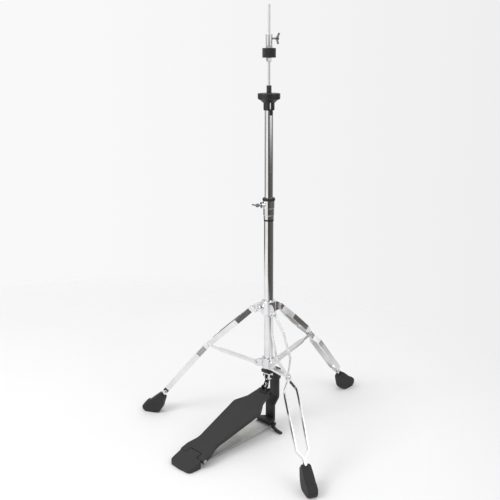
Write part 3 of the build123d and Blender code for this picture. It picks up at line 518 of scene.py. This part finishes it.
# ------------------------------------------------------------------ clutch
low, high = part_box("clutch_top_nuts")
half = (high.z - low.z) / MM / 4
lower_nut, upper_nut, nut_bore, gap = 9.3, 8.7, 5.0, 0.05
nuts = [knurled_nut("nut", low.z + half * MM, half - gap, lower_nut, nut_bore, "clutch", "chrome",
                    "chrome"),
        knurled_nut("nut", high.z - half * MM, half - gap, upper_nut, nut_bore, "clutch", "chrome",
                    "chrome")]
dress(smooth_shading(merged("clutch_top_nuts.piece", *nuts), 40),
      "chrome", "chrome", "clutch", "clutch_top_nuts")


def felt_disc(name, low_z, high_z, radius, bore, under, over):
    """A felt washer with a slightly uneven, fuzzy outline. under, over: radii of its two edges."""
    def uneven(angle, height, r):
        wobble = noise.noise(Vector((math.cos(angle) * 2, math.sin(angle) * 2, (low_z + height) * 0.4)))
        fuzz = noise.noise(Vector((math.cos(angle) * 38, math.sin(angle) * 38, height * 2.3)))
        return r + (0.22 * wobble + 0.10 * fuzz if r > bore + 0.5 else 0)
    tall = (high_z - low_z) / MM
    sunk, dip, waist = 0.25, 0.15, 0.12
    quarter = [math.pi * k / 12 for k in range(1, 7)]

    def face(edge, k):
        """Radius of the kth of five rings on a flat face, out to where its edge begins."""
        return bore + (radius - edge - 0.3 - bore) * k / 5

    rings = [(sunk, bore)]
    rings += [(dip * (k % 2), face(under, k)) for k in range(1, 6)]
    rings += [(under * (1 - math.cos(a)), radius - under * (1 - math.sin(a))) for a in quarter]
    rings += [(under + (tall - under - over) * k / 8, radius - waist * math.sin(math.pi * k / 8))
              for k in range(1, 8)]
    rings += [(tall - over * (1 - math.cos(a)), radius - over * (1 - math.sin(a)))
              for a in reversed(quarter)]
    rings += [(tall - dip * (k % 2), face(over, k)) for k in range(5, 0, -1)]
    rings += [(tall - sunk, bore)]
    return closed_lathe(name, rings, capped=False, origin=(0, 0, low_z), steps=160, shape=uneven)


low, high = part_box("clutch_felts")
middle = (low.z + high.z) / 2
felt_radius, felt_bore, outer_edge, inner_edge = 17.1, 5.2, 1.3, 0.5
felts = [felt_disc("felt", low.z, middle - gap * MM, felt_radius, felt_bore, outer_edge, inner_edge),
         felt_disc("felt", middle + gap * MM, high.z, felt_radius, felt_bore, inner_edge, outer_edge)]
dress(smooth_shading(merged("clutch_felts.piece", *felts), 60),
      "black_felt", "black_felt", "clutch", "clutch_felts")

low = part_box("clutch_body")[0]
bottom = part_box("clutch_bottom_nut")[0].z
short = 0.3  # how far the thread stops short of each end of the stem
stem = thread("clutch_stem_thread", (0, 0, low.z), (0, 0, 1), radius=5.05, start=short,
              end=(bottom - low.z) / MM - short, pitch=1.0, depth=0.4)
dress(smooth_shading(stem, 50), "chrome", "chrome", "clutch")


# ------------------------------------------------------------------ rubber feet
def rubber_foot(leg):
    """The CAD foot with moulded edges and shallow grooves around its upper end."""
    node = f"rubber_foot_{leg}"
    low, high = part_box(node)
    outward = Vector((low.x + high.x, low.y + high.y, 0)).normalized()
    # the leg's slope, and where the foot's upper end lies on it
    shin = (outward * 0.685 - Vector((0, 0, 0.729))).normalized()
    top = outward * 0.3145 + Vector((0, 0, 0.0575))
    groove_depth, groove_pitch = 0.6 * MM, 5.0
    first_groove, last_groove, side_on = 4, 20, 0.75
    piece = cast(rounded(node, 1.6, 4), 0.8, 3)
    normals = [v.normal.copy() for v in piece.data.vertices]
    for v, normal in zip(piece.data.vertices, normals):
        down = (v.co - top).dot(shin) / MM
        if abs(normal.dot(shin)) < side_on and first_groove < down < last_groove:
            wave = max(0.0, math.cos(down * 2 * math.pi / groove_pitch)) ** 2
            v.co -= normal * (groove_depth * wave)
    return dress(piece, "foot_rubber", "foot_rubber", f"leg_{leg}", node)


for leg in LEGS:
    rubber_foot(leg)


# ------------------------------------------------------------------ stage
# a sheet of paper under the feet, fading at its rim; its middle lies to the camera's left
floor_size, fade_start, fade_end = 3.2, 1.02, 1.5
floor_middle = (-0.42, -0.42, -0.1 * MM)
bm = bmesh.new()
bmesh.ops.create_grid(bm, x_segments=8, y_segments=8, size=floor_size / 2)
floor = from_bmesh("floor", bm)
s = Shader("floor_paper")
paper = s.noise(3.0, 4)
s.surface(s.mix(paper, (0.86, 0.86, 0.865), (0.89, 0.89, 0.893)), s.spread(paper, 0.3, 0.7, 0.75, 0.9))
length = s.add("ShaderNodeVectorMath", operation="LENGTH")
s.join(s.coordinate, length.inputs[0])
s.join(s.spread(length.outputs["Value"], fade_start, fade_end, 1.0, 0.0), s.bsdf.inputs["Alpha"])
floor.data.materials.append(s.material)
floor.location = floor_middle


# ------------------------------------------------------------------ camera
eye = Vector((1.337, -1.395, 1.034))
heading, pitch, roll = math.radians(45.27), math.radians(-15.01), math.radians(0.28)
forward = Vector((-math.sin(heading) * math.cos(pitch), math.cos(heading) * math.cos(pitch),
                  math.sin(pitch)))
right = forward.cross(Vector((0, 0, 1))).normalized()
up = right.cross(forward)
tilted = Matrix.Rotation(roll, 3, forward)
right, up = tilted @ right, tilted @ up
camera_data = bpy.data.cameras.new("camera")
camera_data.lens = 53.86
camera_data.sensor_width = 36.0
camera = bpy.data.objects.new("camera", camera_data)
camera.matrix_world = Matrix.Translation(eye) @ Matrix((right, up, -forward)).transposed().to_4x4()
bpy.context.scene.collection.objects.link(camera)
bpy.context.scene.camera = camera


# ------------------------------------------------------------------ light
def softbox(name, azimuth, height, distance, size, power):
    """A large soft lamp aimed at the stand's middle. Azimuth in degrees from the camera's side,
    positive to its right."""
    middle = Vector((0, 0, 0.45))
    base = math.atan2(eye.y, eye.x) + math.radians(azimuth)
    lamp = bpy.data.lights.new(name, "AREA")
    lamp.shape = "RECTANGLE"
    lamp.size, lamp.size_y = size
    lamp.energy = power
    spot = Vector((math.cos(base) * distance, math.sin(base) * distance, height))
    item = bpy.data.objects.new(name, lamp)
    item.location = spot
    item.rotation_euler = (middle - spot).to_track_quat("-Z", "Y").to_euler()
    bpy.context.scene.collection.objects.link(item)


softbox("key", azimuth=-55, height=2.6, distance=2.8, size=(1.6, 1.6), power=46)
softbox("fill", azimuth=50, height=2.2, distance=3.2, size=(1.6, 1.8), power=16)

world = bpy.data.worlds.new("studio")
bpy.context.scene.world = world
world.use_nodes = True
tree = world.node_tree
tree.nodes.clear()
output = tree.nodes.new("ShaderNodeOutputWorld")


def world_node(kind, **values):
    node = tree.nodes.new(kind)
    for key, value in values.items():
        setattr(node, key, value)
    return node


def world_dot(direction):
    node = world_node("ShaderNodeVectorMath", operation="DOT_PRODUCT")
    tree.links.new(coordinate.outputs["Generated"], node.inputs[0])
    node.inputs[1].default_value = direction
    return node.outputs["Value"]


def world_spread(value, low, high, to_low=0.0, to_high=1.0, soft=True):
    node = world_node("ShaderNodeMapRange", interpolation_type="SMOOTHSTEP" if soft else "LINEAR")
    for socket, number in zip(list(node.inputs)[1:5], (low, high, to_low, to_high)):
        socket.default_value = number
    tree.links.new(value, node.inputs["Value"])
    return node.outputs["Result"]


def world_mix(factor, first, second):
    node = world_node("ShaderNodeMix", data_type="RGBA")
    tree.links.new(factor, node.inputs[0])
    for socket, value in ((node.inputs[6], first), (node.inputs[7], second)):
        if isinstance(value, tuple):
            socket.default_value = (*value, 1)
        else:
            tree.links.new(value, socket)
    return node.outputs[2]


def by_azimuth(stops):
    """Colours of the room around the stand: degrees from behind the camera, to its right."""
    ramp = world_node("ShaderNodeValToRGB")
    while len(ramp.color_ramp.elements) < len(stops):
        ramp.color_ramp.elements.new(0.5)
    for element, (degrees, colour) in zip(ramp.color_ramp.elements, stops):
        element.position = degrees / 360 + 0.5
        element.color = (*(colour if isinstance(colour, tuple) else (colour,) * 3), 1)
    tree.links.new(around, ramp.inputs["Fac"])
    return ramp.outputs["Color"]


coordinate = world_node("ShaderNodeTexCoord")
to_camera = Vector((eye.x, eye.y, 0)).normalized()
to_right = Vector((0, 0, 1)).cross(to_camera)
angle = world_node("ShaderNodeMath", operation="ARCTAN2")
tree.links.new(world_dot(to_right), angle.inputs[0])
tree.links.new(world_dot(to_camera), angle.inputs[1])
around = world_spread(angle.outputs[0], -math.pi, math.pi, soft=False)
height = world_dot((0, 0, 1))
dark_brown, brown, light_brown = (0.05, 0.047, 0.044), (0.10, 0.092, 0.085), (0.17, 0.15, 0.132)
grey = (0.30, 0.29, 0.28)
# level with the stand: softboxes either side of the dark camera end, grey walls behind
walls = by_azimuth((
    (-180, 0.55), (-150, 0.45), (-84, 0.42), (-76, 1.05), (-29, 1.10), (-21, 0.14), (18, 0.10),
    (25, 0.92), (76, 0.95), (84, grey), (127, 0.28), (136, 0.95), (180, 0.95)))
# lower down: the floor paper ends, and past it lies the dark studio floor
floor_edge = by_azimuth((
    (-180, 0.70), (-150, 0.30), (-128, 0.10), (-104, 0.12), (-92, 1.0), (-27, 1.05),
    (-19, dark_brown), (30, brown), (118, light_brown), (140, 0.7), (180, 0.70)))
room_colour = world_mix(world_spread(height, -0.15, -0.08), floor_edge, walls)
room_colour = world_mix(world_spread(height, -0.02, 0.05, 0.0, 0.5), room_colour, (0.92, 0.92, 0.92))
room_colour = world_mix(world_spread(height, 0.35, 0.85), room_colour, (0.9, 0.9, 0.9))
room = world_node("ShaderNodeBackground")
tree.links.new(room_colour, room.inputs["Color"])
# the paper behind the stand, seen only by the camera, with painted shade that makes it a little darker to the
# right
backdrop = world_node("ShaderNodeBackground")
painted_shade_rightwards = world_spread(world_dot(right), -0.20, 0.34, soft=False)
backdrop_with_painted_shade = world_mix(painted_shade_rightwards, (0.945, 0.945, 0.945), (0.855, 0.855, 0.86))
tree.links.new(backdrop_with_painted_shade, backdrop.inputs["Color"])
path = world_node("ShaderNodeLightPath")
choose = world_node("ShaderNodeMixShader")
tree.links.new(path.outputs["Is Camera Ray"], choose.inputs[0])
tree.links.new(room.outputs[0], choose.inputs[1])
tree.links.new(backdrop.outputs[0], choose.inputs[2])
tree.links.new(choose.outputs[0], output.inputs["Surface"])

bpy.context.scene.view_settings.view_transform = "Standard"
